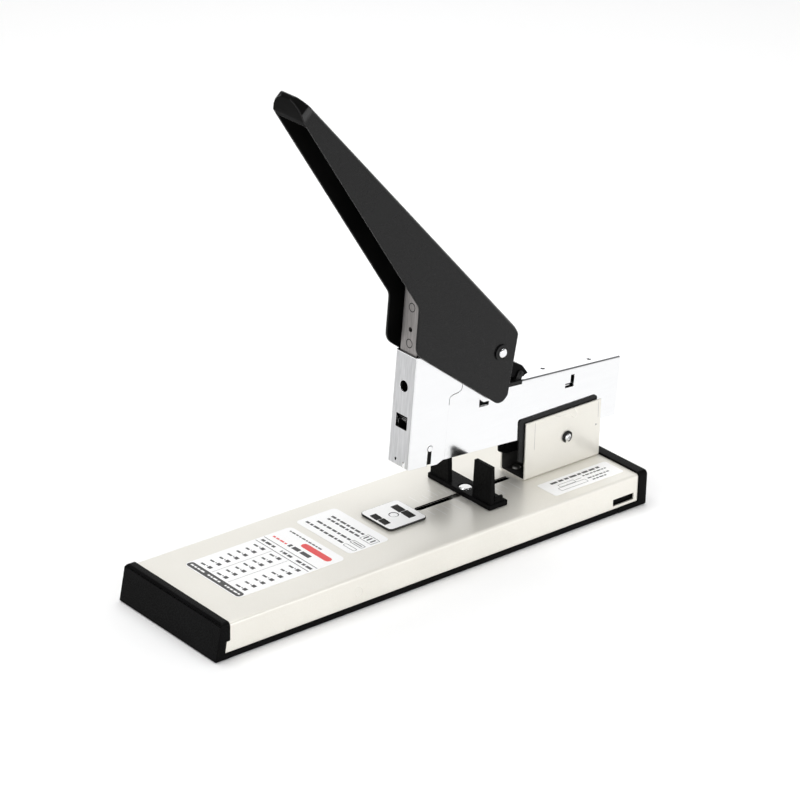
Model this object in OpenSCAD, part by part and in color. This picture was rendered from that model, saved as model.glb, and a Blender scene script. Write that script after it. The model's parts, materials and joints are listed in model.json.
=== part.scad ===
/* [Base] */
// Length of the base over both end caps
base_len = 283; // [270:1:300]
// Width of the painted base shell
base_w = 79; // [76:0.5:84]
// Height of the base's top face above the table
base_top = 18.8; // [17.5:0.1:20]
// Thickness of the painted sheet steel
sheet = 1.2; // [1:0.1:1.4]
// Length of the slot that the depth guide slides in
slot_len = 64; // [60:1:66]
// Width of that slot
slot_w = 4; // [3.9:0.1:4.4]

/* [Anvil] */
// Distance from the base's front end to the centre of the anvil
anvil_x = 143.3; // [142.5:0.1:144]
// Side of the square anvil plate
anvil_size = 25; // [23:0.5:26]

/* [Depth guide] */
// Distance from the base's front end to the front face of the guide
guide_x = 186.6; // [184:0.2:190]
// Width of the guide across the base
guide_w = 50; // [46:1:56]
// Height of the fences above the base
fence_h = 24; // [12:0.5:24]

/* [Head] */
// Angle of the raised head at rest, in degrees
head_raise = 4; // [3.5:0.1:4.5]
// Outer width of the front housing
housing_w = 16.6; // [16.6:0.1:17]
// Height of the staple channel
channel_h = 33.7; // [33:0.1:34.5]
// Length that the driver travels down
driver_stroke = 27; // [25:0.1:27]

/* [Handle] */
// Outer width of the handle
handle_w = 25; // [24.6:0.1:27]
// Length of the handle from its rear corner to its tip
handle_len = 206.5; // [190:0.5:210]
// Thickness of the handle's sheet steel
handle_sheet = 1.4; // [1.2:0.1:1.6]

/* [Hidden] */
$fn = 48;
EPS = 0.01;

// Frame: the origin is on the table under the middle of the whole length, +X points to the rear.
head_end_x = 289;                        // rear end of the staple channel, head level
pivot_x = 253;                           // head hinge, from the base's front end
pivot_z = base_top + 18.1;
head_over = (head_end_x - pivot_x) * cos(head_raise) + 37.8 * sin(head_raise);
mid_x = (pivot_x + head_over) / 2;       // half of the whole length at rest

shell_top_in = base_top - sheet;
shell_low = 3.3;                         // lower edge of the painted sides
shell_r = 1.6;                           // outer bend radius of the shell
cap_proud = 0.8;                         // how far the caps stand proud of the shell
cover_low = 0.3;                         // underside of the bottom cover
shell_x0 = 6;                            // the shell runs from here
shell_x1 = base_len - 2.2;               // to here, inside the caps

bracket_x0 = 224;
bracket_x1 = 277;
bracket_w = 19.2;
bracket_sheet = 1;
bracket_top = base_top + 33.3;
axle_r = 2;
running = 0.06;                          // radial clearance of every turning fit
gap = 0.3;                               // clearance between moving neighbours

channel_low = base_top + 22.2;           // lower edge of the channel, head level
channel_top = channel_low + channel_h;
channel_half = 7.5;
channel_sheet = 0.7;
channel_x0 = 150;

housing_x0 = 144.6;
housing_sheet = 0.8;
front_sheet = 1;
housing_low = channel_low - 0.7;
housing_top = channel_low + 60.7;
housing_half = housing_w / 2;

blade_x0 = housing_x0 + front_sheet + gap;
blade_t = 0.7;
blade_half = 6.4;
hammer_t = 1.5;
hammer_x0 = blade_x0 + blade_t;
hammer_x1 = hammer_x0 + hammer_t;
rail_half = 5.5;
rail_low = channel_low + 0.6;
rail_top = channel_low + 24;
stick_half = 6.5;
stick_wall = 0.65;
stick_x0 = hammer_x0 + 0.4;
stick_len = 60;
leg_len = 15;

grip_x = 197.8;                          // handle hinge, head level
grip_z = channel_top + 21.7;
grip_r = 2.5;
handle_half = handle_w / 2;
bend_r = 2.2;                            // outer radius of the handle's two long bends
back_slope = 43.7;                       // slope of the handle's back at rest, head level
link_r = 45;                             // from the handle hinge to the link pin
link_angle = asin(driver_stroke / 2 / link_r);
link_x = grip_x - link_r * cos(link_angle);
link_z = grip_z + link_r * sin(link_angle);
link_pin_r = 1.9;

pusher_x0 = stick_x0 + stick_len + 0.3;
pusher_len = 14;
rod_z = rail_top + 4.6;
end_x = head_end_x - 5;                  // front of the magazine's end block

latch_x = 219;
latch_z = channel_top + 3.6;
guide_stud_x = guide_x + 5;

// ---- placing ----
module from_front() { translate([-mid_x, 0, 0]) children(); }
module at_head() {
    from_front() translate([pivot_x, 0, pivot_z]) rotate([0, head_raise, 0])
        translate([-pivot_x, 0, -pivot_z]) children();
}
module both_sides() { for (s = [0, 1]) mirror([0, s, 0]) children(); }

// ---- extruding ----
module across(half) { rotate([90, 0, 0]) linear_extrude(2 * half, center = true) children(); }
module wall(y0, y1) { translate([0, y1, 0]) rotate([90, 0, 0]) linear_extrude(y1 - y0) children(); }
module along(x0, x1) { translate([x0, 0, 0]) rotate([90, 0, 90]) linear_extrude(x1 - x0) children(); }
module rod_y(x, z, r, y0, y1) { translate([x, y1, z]) rotate([90, 0, 0]) cylinder(r = r, h = y1 - y0); }
module tube_y(x, z, r_in, r_out, y0, y1) {
    difference() {
        rod_y(x, z, r_out, y0, y1);
        rod_y(x, z, r_in, y0 - 1, y1 + 1);
    }
}
module rod_x(x0, x1, z, r) { translate([x0, 0, z]) rotate([0, 90, 0]) cylinder(r = r, h = x1 - x0); }
module box(x0, x1, y0, y1, z0, z1) { translate([x0, y0, z0]) cube([x1 - x0, y1 - y0, z1 - z0]); }

// ---- outlines ----
function unit(v) = v / norm(v);
function corner(a, p, b, r, n) = r <= 0 ? [p] :
    let (u = unit(a - p), w = unit(b - p), h = acos(u * w) / 2,
         c = p + unit(u + w) * r / sin(h), s = p + u * r / tan(h) - c, e = p + w * r / tan(h) - c,
         a0 = atan2(s.y, s.x), da = (atan2(e.y, e.x) - a0 + 540) % 360 - 180)
    [for (i = [0 : n]) c + r * [cos(a0 + da * i / n), sin(a0 + da * i / n)]];
// Outline whose points are [x, y, corner radius]
function rounded(p, n = 6) = let (m = len(p), q = [for (v = p) [v.x, v.y]])
    [for (i = [0 : m - 1]) each corner(q[(i + m - 1) % m], q[i], q[(i + 1) % m], p[i][2], n)];
module outline(p) { polygon(rounded(p)); }
// Rectangle standing on the axis, with its two upper corners round
module dome(w, h, r) {
    outline([[-w / 2, 0, 0], [w / 2, 0, 0], [w / 2, h, r], [-w / 2, h, r]]);
}
module plate(x0, x1, y0, y1, r) {
    outline([[x0, y0, r], [x1, y0, r], [x1, y1, r], [x0, y1, r]]);
}

// ---- coil spring along +Z from the origin ----
function ring(c, u, v, r, n) = [for (k = [0 : n - 1]) c + r * (u * cos(360 * k / n) + v * sin(360 * k / n))];
module coil(r, wire, h, turns, sides = 6, steps = 14) {
    n = round(turns * steps);
    path = [for (i = [0 : n]) let (a = 360 * turns * i / n) ring(
        [r * cos(a), r * sin(a), wire / 2 + (h - wire) * i / n],
        [cos(a), sin(a), 0], [0, 0, 1], wire / 2, sides)];
    points = [for (p = path) each p];
    faces = concat(
        [[for (k = [0 : sides - 1]) k]],
        [for (i = [0 : n - 1]) for (k = [0 : sides - 1])
            let (a = i * sides + k, b = i * sides + (k + 1) % sides)
            for (f = [[a, a + sides, b], [b, a + sides, b + sides]]) f],
        [[for (k = [sides - 1 : -1 : 0]) n * sides + k]]);
    polyhedron(points, faces, convexity = 10);
}

// ================= base =================
module shell_profile(grow) {
    translate([0, shell_low]) dome(base_w + 2 * grow, base_top - shell_low + grow, shell_r + grow);
}
module guide_slot_2d() {
    x0 = anvil_x + anvil_size / 2 + 2;
    plate(x0, x0 + slot_len, -slot_w / 2, slot_w / 2, slot_w / 2 - EPS);
}
module base_shell() color([0.86, 0.84, 0.78]) from_front() difference() {
    along(shell_x0, shell_x1) difference() {
        shell_profile(0);
        shell_profile(-sheet);
        translate([-base_w / 2 + sheet, 0]) square([base_w - 2 * sheet, shell_low + 5]);
    }
    translate([0, 0, base_top - 3]) linear_extrude(5) guide_slot_2d();
    translate([anvil_x, 0, base_top - 3]) cylinder(r = 2.5 + running, h = 5);
    for (x = [bracket_x0 + 7, bracket_x1 - 7]) for (y = [-4.5, 4.5])
        translate([x, y, base_top - 3]) cylinder(r = 1.6, h = 5);
    // vent slot in each side near the rear
    both_sides() box(260.7, 275.4, -base_w / 2 - 1, -base_w / 2 + 3, 5, 8.8);
}
module screw_boss(x, y) {
    translate([x, y, shell_low]) difference() {
        cylinder(r = 3.6, h = shell_top_in - shell_low - 3);
        translate([0, 0, -1]) cylinder(r = 1.4, h = 11);
    }
}
module front_cap() color([0.06, 0.06, 0.065]) from_front() {
    difference() {
        intersection() {
            along(0, 9) translate([0, cover_low])
                dome(base_w + 2 * cap_proud, base_top + 1.1 - cover_low, shell_r + 0.6);
            across(base_w) outline([
                [0, cover_low, 0], [9, cover_low, 0], [9, 25, 0], [5.4, 20.4, 2.2], [3.4, 18.6, 0]]);
        }
        along(shell_x0 - 0.1, 10) shell_profile(0.05);
        box(2.6, shell_x0, -base_w / 2 + 3, base_w / 2 - 3, shell_low, 11);
        // pocket for the cover's tongue
        box(2.9, 10, -base_w / 2 + 3.15, base_w / 2 - 3.15, cover_low + 1.15, shell_low + EPS);
        // the side wing steps back along its lower half
        box(6, 10, -base_w, base_w, shell_low, base_top - 9);
    }
    // plug inside the shell, with the two screw bosses
    difference() {
        box(2.5, 22, -base_w / 2 + 2, base_w / 2 - 2, shell_low, shell_low + 10);
        box(4.5, 20, -base_w / 2 + 4, base_w / 2 - 4, shell_low - 1, shell_low + 11);
    }
    for (y = [-30, 30]) {
        screw_boss(13, y);
        for (s = [-1, 1]) box(4, 9.9, y - 0.8, y + 0.8, shell_low, shell_low + 9);
    }
}
module rear_cap() color([0.06, 0.06, 0.065]) from_front() {
    difference() {
        along(base_len - 5, base_len + 1) translate([0, cover_low])
            dome(base_w + 2 * cap_proud, base_top + 1.1 - cover_low, shell_r + 0.6);
        along(base_len - 6, base_len - 2.1) shell_profile(0.05);
        box(base_len - 6, base_len - 2.1, -base_w / 2 + 2, base_w / 2 - 2, shell_low + 1, shell_low + 8);
    }
    // foot strip below each side, running forward from the end
    both_sides() box(264, base_len - 4.9, -base_w / 2 - cap_proud, -base_w / 2 + 3, cover_low, shell_low);
    difference() {
        box(261, base_len - 2, -base_w / 2 + 2, base_w / 2 - 2, shell_low, shell_low + 10);
        box(263, base_len - 4, -base_w / 2 + 4, base_w / 2 - 4, shell_low - 1, shell_low + 11);
        // notch that the stiffener passes through
        box(260, 264, -23, 23, shell_low + 4.2, shell_low + 11);
    }
    for (y = [-30, 30]) {
        screw_boss(270, y);
        box(273.1, base_len - 3, y - 0.8, y + 0.8, shell_low, shell_low + 9);
    }
}
foot_spots = [for (x = [24, 259]) for (y = [-29, 29]) [x, y]];
screw_spots = [for (x = [13, 270]) for (y = [-30, 30]) [x, y]];
module bottom_cover() color([0.05, 0.05, 0.055]) from_front() difference() {
    union() {
        box(9.1, 263.9, -base_w / 2 - 0.5, base_w / 2 + 0.5, cover_low, shell_low - 0.05);
        box(3, 9.1, -base_w / 2 + 3.2, base_w / 2 - 3.2, 1.2 + cover_low, shell_low - 0.05);
        box(263.9, base_len - 6, -base_w / 2 + 3.2, base_w / 2 - 3.2, cover_low, shell_low - 0.05);
        // locating rib inside the shell
        difference() {
            box(23, 260, -base_w / 2 + 1.4, base_w / 2 - 1.4, cover_low + 1, shell_low + 3);
            box(24.4, 258.6, -base_w / 2 + 2.8, base_w / 2 - 2.8, cover_low + 1, shell_low + 4);
        }
    }
    for (p = screw_spots) translate([p.x, p.y, 0]) {
        cylinder(r = 1.7, h = 8);
        cylinder(r = 3.1, h = cover_low + 1.3);
    }
    for (p = foot_spots) translate([p.x, p.y, 0]) cylinder(r = 6.05, h = cover_low + 1);
    // opening to push the anvil up from below
    translate([anvil_x, 0, 0]) cylinder(r = 7, h = 8);
}
module rubber_feet() color([0.12, 0.12, 0.12]) from_front() for (p = foot_spots)
    translate([p.x, p.y, 0]) cylinder(r = 6, h = cover_low + 1);
module screw(head_r, head_h, shank_r, length) {
    difference() {
        cylinder(r = head_r, h = head_h);
        for (a = [0, 90]) rotate(a) translate([-1.9, -0.35, -1]) cube([3.8, 0.7, 1.7]);
    }
    translate([0, 0, head_h - EPS]) cylinder(r = shank_r, h = length);
}
module bottom_screws() color([0.6, 0.6, 0.62]) from_front() for (p = screw_spots)
    translate([p.x, p.y, cover_low + 0.1]) screw(2.9, 1.15, 1.35, 9);
module base_stiffener() color([0.7, 0.7, 0.72]) from_front() difference() {
    along(124, bracket_x1) difference() {
        translate([-22, 8]) square([44, shell_top_in - 8]);
        translate([-20.5, 7]) square([41, shell_top_in - 1.5 - 7]);
    }
    // window for the anvil parts and the guide's clamp
    translate([0, 0, 5]) linear_extrude(20) plate(130, 223.5, -9.5, 9.5, 3);
    for (x = [bracket_x0 + 7, bracket_x1 - 7]) for (y = [-4.5, 4.5])
        translate([x, y, 10]) cylinder(r = 1.6, h = 10);
}
module rear_bracket() color([0.86, 0.84, 0.78]) from_front() difference() {
    along(bracket_x0, bracket_x1) difference() {
        outline([[-bracket_w / 2, base_top, 1.8], [bracket_w / 2, base_top, 1.8],
            [bracket_w / 2, bracket_top, 0], [-bracket_w / 2, bracket_top, 0]]);
        outline([[-bracket_w / 2 + bracket_sheet, base_top + bracket_sheet, 0.8],
            [bracket_w / 2 - bracket_sheet, base_top + bracket_sheet, 0.8],
            [bracket_w / 2 - bracket_sheet, bracket_top + 1, 0],
            [-bracket_w / 2 + bracket_sheet, bracket_top + 1, 0]]);
    }
    rod_y(pivot_x, pivot_z, axle_r, -20, 20);
    for (x = [bracket_x0 + 7, bracket_x1 - 7]) for (y = [-4.5, 4.5])
        translate([x, y, base_top - 1]) cylinder(r = 1.6, h = 4);
}
module bracket_rivets() color([0.75, 0.75, 0.76]) from_front()
    for (x = [bracket_x0 + 7, bracket_x1 - 7]) for (y = [-4.5, 4.5]) translate([x, y, 0]) {
        translate([0, 0, base_top + bracket_sheet]) cylinder(r1 = 2.6, r2 = 1.9, h = 0.9);
        translate([0, 0, shell_top_in - 2.4]) cylinder(r = 1.6, h = 2.5 + sheet + bracket_sheet);
        translate([0, 0, shell_top_in - 2.5]) cylinder(r1 = 2, r2 = 2.6, h = 1);
    }
module grooved_pin(x, z, r, half, groove) {
    difference() {
        union() {
            rod_y(x, z, r, -half + 0.6, half - 0.6);
            both_sides() translate([x, -half, z]) rotate([-90, 0, 0]) cylinder(r1 = r - 0.7, r2 = r, h = 0.6);
        }
        both_sides() tube_y(x, z, r - 0.6, r + 1, -groove - 0.7, -groove);
    }
}
module e_clip(x, z, r_in, r_out, y) {
    both_sides() difference() {
        rod_y(x, z, r_out, -y - 0.65, -y - 0.05);
        rod_y(x, z, r_in, -y - 2, -y + 2);
        box(x - r_in * 0.75, x + r_in * 0.75, -y - 2, -y + 2, z - r_out - 1, z);
    }
}
module head_axle() color([0.8, 0.8, 0.82]) from_front()
    grooved_pin(pivot_x, pivot_z, axle_r, bracket_w / 2 + 2, bracket_w / 2 + 0.2);
module axle_clips() color([0.08, 0.08, 0.08]) from_front()
    e_clip(pivot_x, pivot_z, axle_r - 0.6, 3.3, bracket_w / 2 + 0.2);
module lift_spring() color([0.7, 0.7, 0.72]) from_front()
    translate([237.5, 0, base_top + bracket_sheet]) coil(4, 1, pivot_z + 3.6 - base_top - bracket_sheet, 6.5);

label_t = 0.15;
module sticker(x0, x1, y0, y1, r) {
    from_front() translate([0, 0, base_top]) linear_extrude(label_t) plate(x0, x1, y0, y1, r);
}
module size_label() color("white") sticker(27.5, 95, -21.3, 23.4, 3);
module note_label() color("white") sticker(100, 126, -18.2, 26.5, 2.5);
module rear_label() color("white") sticker(226, 274.5, -32.3, -17.2, 1.2);

// ================= anvil =================
anvil_low = base_top + gap;
anvil_t = 1.3;
module anvil_post() color([0.75, 0.75, 0.76]) from_front() translate([anvil_x, 0, 0]) {
    difference() {
        translate([0, 0, 5.2]) cylinder(r = 2.5, h = anvil_low - 5.2);
        translate([0, 0, 6.8]) difference() {
            cylinder(r = 4, h = 0.7);
            translate([0, 0, -1]) cylinder(r = 1.9, h = 3);
        }
    }
    translate([0, 0, anvil_low - EPS]) cylinder(r = 1.6, h = anvil_t - 0.9 + EPS);
    translate([0, 0, anvil_low + anvil_t - 0.9]) cylinder(r1 = 1.6, r2 = 2.3, h = 0.8);
}
module anvil_clip() color([0.5, 0.5, 0.52]) from_front() translate([anvil_x, 0, 6.85]) difference() {
    cylinder(r = 4.8, h = 0.6);
    translate([0, 0, -1]) cylinder(r = 1.9, h = 3);
    translate([-1.4, -6, -1]) cube([2.8, 6, 3]);
}
module anvil_spring() color([0.7, 0.7, 0.72]) from_front()
    translate([anvil_x, 0, 7.5]) coil(3.7, 0.7, shell_top_in - 7.5 - 0.05, 5);
// One crescent that turns a staple leg: a trough whose floor is an arc
module crescent(x, y0, y1, w, depth) {
    half = (y1 - y0) / 2;
    r = (half * half + depth * depth) / (2 * depth);
    translate([x, y0 + half, anvil_low + anvil_t + r - depth]) rotate([0, 90, 0])
        cylinder(r = r, h = w, center = true, $fn = 144);
}
module anvil_plate() color([0.85, 0.85, 0.86]) from_front() difference() {
    translate([0, 0, anvil_low]) linear_extrude(anvil_t)
        plate(anvil_x - anvil_size / 2, anvil_x + anvil_size / 2, -anvil_size / 2, anvil_size / 2, 2.6);
    translate([anvil_x, 0, anvil_low - 1]) cylinder(r = 1.6 + running, h = 4);
    translate([anvil_x, 0, anvil_low + anvil_t - 0.9 - running]) cylinder(r1 = 1.6 + running, r2 = 2.45, h = 1);
    both_sides() {
        crescent(anvil_x + 6.3, 0.1, 8, 4.6, 0.8);
        crescent(anvil_x - 8.9, 0.1, 6.5, 4.1, 0.7);
    }
}

// ================= depth guide =================
guide_t = 2.8;
guide_low = base_top + gap;
module depth_guide() color([0.06, 0.06, 0.065]) from_front() difference() {
    union() {
        translate([0, 0, guide_low]) linear_extrude(guide_t)
            plate(guide_x, guide_x + 12.6, -guide_w / 2, guide_w / 2, 0.8);
        // a fence on each side of the head, narrower towards its top
        both_sides() hull() {
            box(guide_x + 1.2, guide_x + 4.2, -guide_w / 2 + 0.8, -9.6, guide_low + 1, guide_low + guide_t);
            box(guide_x + 1.4, guide_x + 4, -guide_w / 2 + 1.4, -10.2, guide_low + 4, base_top + fence_h);
        }
        // buttress behind each fence
        both_sides() box(guide_x + 4, guide_x + 10, -guide_w / 2 + 1, -guide_w / 2 + 2.6, guide_low + 1, guide_low + 6);
    }
    translate([guide_stud_x, 0, 0]) cylinder(r = 1.8, h = 40);
    translate([guide_stud_x, 0, guide_low + guide_t - 1]) cylinder(r = 4, h = 5);
}
module guide_stud() color([0.8, 0.8, 0.82]) from_front() translate([guide_stud_x, 0, 0]) {
    translate([0, 0, shell_top_in - 3.7]) cylinder(r = 1.75, h = guide_low + guide_t - shell_top_in + 2.8);
    translate([0, 0, guide_low + guide_t - 1]) cylinder(r = 3.7, h = 0.6);
    translate([0, 0, guide_low + guide_t - 0.4 - EPS]) cylinder(r1 = 3.7, r2 = 2.6, h = 0.6);
    translate([0, 0, shell_top_in - 4.4]) cylinder(r1 = 2.2, r2 = 2.7, h = 0.8);
}
module guide_clamp() color([0.6, 0.6, 0.62]) from_front() difference() {
    translate([0, 0, shell_top_in - gap - 1.4]) linear_extrude(1.4)
        plate(guide_stud_x - 8, guide_stud_x + 8, -7.5, 7.5, 2);
    translate([guide_stud_x, 0, 0]) cylinder(r = 1.77, h = 30);
}
module guide_washer() color([0.7, 0.7, 0.72]) from_front() translate([guide_stud_x, 0, shell_top_in - 3.6])
    difference() {
        cylinder(r1 = 2.9, r2 = 5, h = 1.9);
        translate([0, 0, 0.5]) cylinder(r1 = 2.9, r2 = 5, h = 1.9);
        translate([0, 0, -1]) cylinder(r = 1.8, h = 5);
    }

// ================= head =================
module channel_profile(grow) {
    translate([0, channel_low]) dome(2 * (channel_half + grow), channel_h + grow, 1.4 + grow);
}
module head_channel() color([0.85, 0.86, 0.88]) at_head() difference() {
    along(channel_x0, head_end_x) difference() {
        channel_profile(0);
        translate([0, -1]) channel_profile(-channel_sheet);
        translate([-channel_half + channel_sheet, channel_low - 1]) square([2 * (channel_half - channel_sheet), 6]);
        translate([0, -channel_sheet]) translate([0, channel_low + 5])
            dome(2 * (channel_half - channel_sheet), channel_h - 5, 0.7);
    }
    // opening in the top for the driver
    box(channel_x0 - 1, 164, -channel_half + 0.9, channel_half - 0.9, channel_top - 6, channel_top + 1);
    // slot for the latch's nose
    box(latch_x + 1.2, latch_x + 5.6, -3, 3, channel_top - 2, channel_top + 1);
    // small holes in the top
    translate([240, 0, channel_top - 2]) cylinder(r = 1.2, h = 4);
    translate([271, -2, channel_top - 2]) cylinder(r = 1.2, h = 4);
    // windows in the sides
    across(20) {
        translate([190.4, channel_top - 9.1]) square([6.6, 6.1]);
        translate([250.4, channel_top - 10.6]) square([6, 2.4]);
        translate([253.9, channel_top - 10.6]) square([2.5, 6.9]);
    }
    for (p = nose_spots) rod_y(p.x, p.y, 1.5, -20, 20);
    for (p = rivet_spots) rod_y(p.x, p.y, 1.5, -20, 20);
    for (p = yoke_spots) rod_y(p.x, p.y, 1.5, -20, 20);
}
nose_spots = [[158.4, channel_low + 8.6]];
rivet_spots = [[199.2, channel_top - 3.4], [204, channel_top - 3.4]];
yoke_spots = [[232, channel_low + 6], [268, channel_low + 6]];
module head_yoke() color([0.07, 0.07, 0.075]) {
    difference() {
        from_front() both_sides() wall(-channel_half - 0.8, -channel_half) outline([
            [220.4, base_top + 35.8, 1.5], [220.4, base_top + 12, 2], [226, base_top + 9.2, 2],
            [262, base_top + 9.2, 5], [275, base_top + 24, 3], [275, base_top + 35.8, 1.5]]);
        from_front() rod_y(pivot_x, pivot_z, axle_r + running, -20, 20);
        at_head() for (p = yoke_spots) rod_y(p.x, p.y, 1.5, -20, 20);
    }
    at_head() box(228, 262, -channel_half - 0.4, channel_half + 0.4, channel_low - 1, channel_low);
}
module head_rivet(x, z, y_in, y_out) {
    both_sides() {
        rod_y(x, z, 1.5, -y_out, -y_in);
        rod_y(x, z, 2.3, -y_in, -y_in + 0.25);
    }
}
module yoke_rivets() color([0.75, 0.75, 0.76]) at_head()
    for (p = yoke_spots) head_rivet(p.x, p.y, channel_half - channel_sheet, channel_half + 0.8);
module front_housing() color([0.85, 0.86, 0.88]) at_head() difference() {
    intersection() {
        across(20) outline([
            [housing_x0, housing_low, 0.8], [156.2, housing_low, 0.5], [157, housing_low - 0.5, 0],
            [164, housing_low - 0.6, 0.8], [ear_x, housing_low + 1.6, 1.5], [ear_x, channel_top - 3.4, 0],
            [188.5, channel_top - 3.4, 1], [192.5, channel_top - 6.3, 1],
            [206, channel_top - 6.3, 2.5], [205.5, grip_z + 7.5, 7],
            [192, grip_z + 7.5, 4], [186, housing_top, 4], [housing_x0, housing_top, 0.8]]);
        linear_extrude(300) difference() {
            plan(housing_x0, 210, housing_half, 1.4);
            plan(housing_x0 + front_sheet, 212, housing_half - housing_sheet, 0.5);
        }
    }
    across(20) ear_slit();
    // round hole, square window and small hole in the front plate
    translate([housing_x0 - 1, 0, channel_low + 43]) rotate([0, 90, 0]) cylinder(r = 3, h = 3);
    box(housing_x0 - 1, housing_x0 + 2, -4.6, 4.2, channel_low + 20, channel_low + 27.4);
    translate([housing_x0 - 1, 2, channel_low + 2.4]) rotate([0, 90, 0]) cylinder(r = 0.9, h = 3);
    // notch that leaves a round tab at the bottom
    box(housing_x0 - 1, housing_x0 + 2, -5.2, -3.6, channel_low - 3, channel_low + 2.6);
    // keyhole slot in each side
    rod_y(nose_spots[0].x, nose_spots[0].y, 1.75, -20, 20);
    box(nose_spots[0].x - 1.3, nose_spots[0].x + 1.3, -20, 20, channel_low - 4, nose_spots[0].y);
    // handle hinge and rivets
    rod_y(grip_x, grip_z, grip_r, -20, 20);
    for (p = rivet_spots) rod_y(p.x, p.y, 1.5, -20, 20);
}
// Relief slit between the housing's front and its hinge ears
ear_x = 168.8;
ear_gap = 0.35;
module ear_slit() {
    step = 8;
    outline([
        [ear_x, channel_top - 4, 0], [ear_x, channel_top + 1.8, 2.4], [ear_x + step, channel_top + 3.4, 2.6],
        [ear_x + step, channel_top + 10, 0], [ear_x + step + ear_gap, channel_top + 10, 0],
        [ear_x + step + ear_gap, channel_top + 3.1, 2.9], [ear_x + ear_gap, channel_top + 1.5, 2.1],
        [ear_x + ear_gap, channel_top - 4, 0]]);
}
// Plan outline with two round corners at its front
module plan(x0, x1, half, r) {
    outline([[x0, -half, r], [x1, -half, 0], [x1, half, 0], [x0, half, r]]);
}
module housing_rivets() color([0.75, 0.75, 0.76]) at_head() for (p = rivet_spots)
    head_rivet(p.x, p.y, channel_half - channel_sheet, housing_half + 0.1);
module nose_studs() color([0.9, 0.9, 0.92]) at_head() both_sides() for (p = nose_spots)
    rod_y(p.x, p.y, 1.5, -housing_half - 0.3, -channel_half + channel_sheet);
module handle_pin() color([0.85, 0.85, 0.87]) at_head()
    grooved_pin(grip_x, grip_z, grip_r, handle_half + 2.2, handle_half + 0.35);
module handle_clips() color([0.06, 0.06, 0.06]) at_head()
    e_clip(grip_x, grip_z, grip_r - 0.6, 4.3, handle_half + 0.35);
module inner_bushes() color([0.75, 0.65, 0.4]) at_head() both_sides()
    tube_y(grip_x, grip_z, grip_r, 4.4, -housing_half + housing_sheet, -5);
module outer_bushes() color([0.75, 0.65, 0.4]) at_head() both_sides()
    tube_y(grip_x, grip_z, grip_r, 4.4, -handle_half + handle_sheet + gap, -housing_half);
module handle_spring() color([0.7, 0.7, 0.72]) at_head() {
    translate([grip_x, 2.9, grip_z]) rotate([90, 0, 0]) coil(3.8, 1, 5.8, 4.5);
}

// ================= driver =================
hammer_z0 = link_z - 10;
hammer_z1 = channel_low + 100;
driver_rivet_z = [channel_low + 65.9, channel_low + 85.2];
driver_hole_z = channel_low + 73.4;
module driver_blade() color([0.72, 0.7, 0.68]) at_head() difference() {
    box(blade_x0, blade_x0 + blade_t, -blade_half, blade_half, channel_low + 26.5, hammer_z1);
    for (z = driver_rivet_z) {
        rod_x(blade_x0 - 1, blade_x0 + 3, z, 1.3);
        rod_x(blade_x0 - 1, blade_x0 + 0.25, z, 2.2);
    }
    rod_x(blade_x0 - 1, blade_x0 + 3, driver_hole_z, 1.3);
    // lightening slot
    along(blade_x0 - 1, blade_x0 + 3) plate(-3.6, 3.6, channel_low + 34, channel_low + 52, 3.5);
}
module driver_hammer() color([0.6, 0.6, 0.6]) at_head() difference() {
    union() {
        box(hammer_x0, hammer_x1, -blade_half, blade_half, hammer_z0, hammer_z1);
        both_sides() wall(-blade_half, -5) outline([
            [hammer_x0, hammer_z0, 0], [158.5, hammer_z0, 2], [160, link_z, 3], [158.5, link_z + 8, 2],
            [hammer_x0, link_z + 12, 0]]);
    }
    for (z = driver_rivet_z) rod_x(hammer_x0 - 1, hammer_x1 + 1, z, 1.3);
    rod_x(hammer_x0 - 1, hammer_x1 + 1, driver_hole_z, 1.3);
    // cross slot that the link pin slides in
    across(20) plate(link_x - (link_r - link_r * cos(link_angle)) - link_pin_r - 0.6, link_x + link_pin_r + 0.6,
        link_z - link_pin_r - gap, link_z + link_pin_r + gap, link_pin_r + gap - EPS);
}
module driver_rivets() color([0.75, 0.73, 0.7]) at_head() for (z = driver_rivet_z) {
    rod_x(blade_x0, hammer_x1 + 0.2, z, 1.3);
    rod_x(blade_x0, blade_x0 + 0.25, z, 2.1);
}

// ================= magazine =================
module magazine_rail() color([0.8, 0.8, 0.82]) at_head() difference() {
    along(stick_x0, end_x) difference() {
        translate([0, rail_low]) dome(2 * rail_half, rail_top - rail_low, 0.8);
        translate([0, rail_low - 1]) dome(2 * rail_half - 1.6, rail_top - rail_low + 0.2, 0.3);
    }
}
module staple_stick() color([0.82, 0.82, 0.84]) at_head() along(stick_x0, stick_x0 + stick_len) difference() {
    translate([0, rail_top + 0.35 + stick_wall - leg_len]) dome(2 * stick_half, leg_len, 0.6);
    translate([0, rail_top + 0.35 - leg_len - 1]) dome(2 * (stick_half - stick_wall), leg_len + 1, 0.2);
}
module magazine_end() color([0.8, 0.8, 0.82]) at_head() difference() {
    union() {
        box(end_x, head_end_x - 2, -6.2, 6.2, rail_low, channel_top - 2.4);
        box(head_end_x - 2, head_end_x - 0.6, -6.2, 6.2, rail_low, rail_low + 10);
    }
    rod_x(end_x - 1, end_x + 2, rod_z, 1.5);
}
module pusher_rod() color([0.85, 0.85, 0.87]) at_head() rod_x(172, end_x + 2, rod_z, 1.5);
module pusher() color([0.1, 0.1, 0.1]) at_head() difference() {
    box(pusher_x0, pusher_x0 + pusher_len, -stick_half + 0.1, stick_half - 0.1, rail_top - 12, rod_z + 3);
    box(pusher_x0 - 1, pusher_x0 + pusher_len + 1, -rail_half - gap, rail_half + gap, rail_top - 13, rail_top + gap);
    rod_x(pusher_x0 - 1, pusher_x0 + pusher_len + 1, rod_z, 1.5 + running);
}
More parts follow.
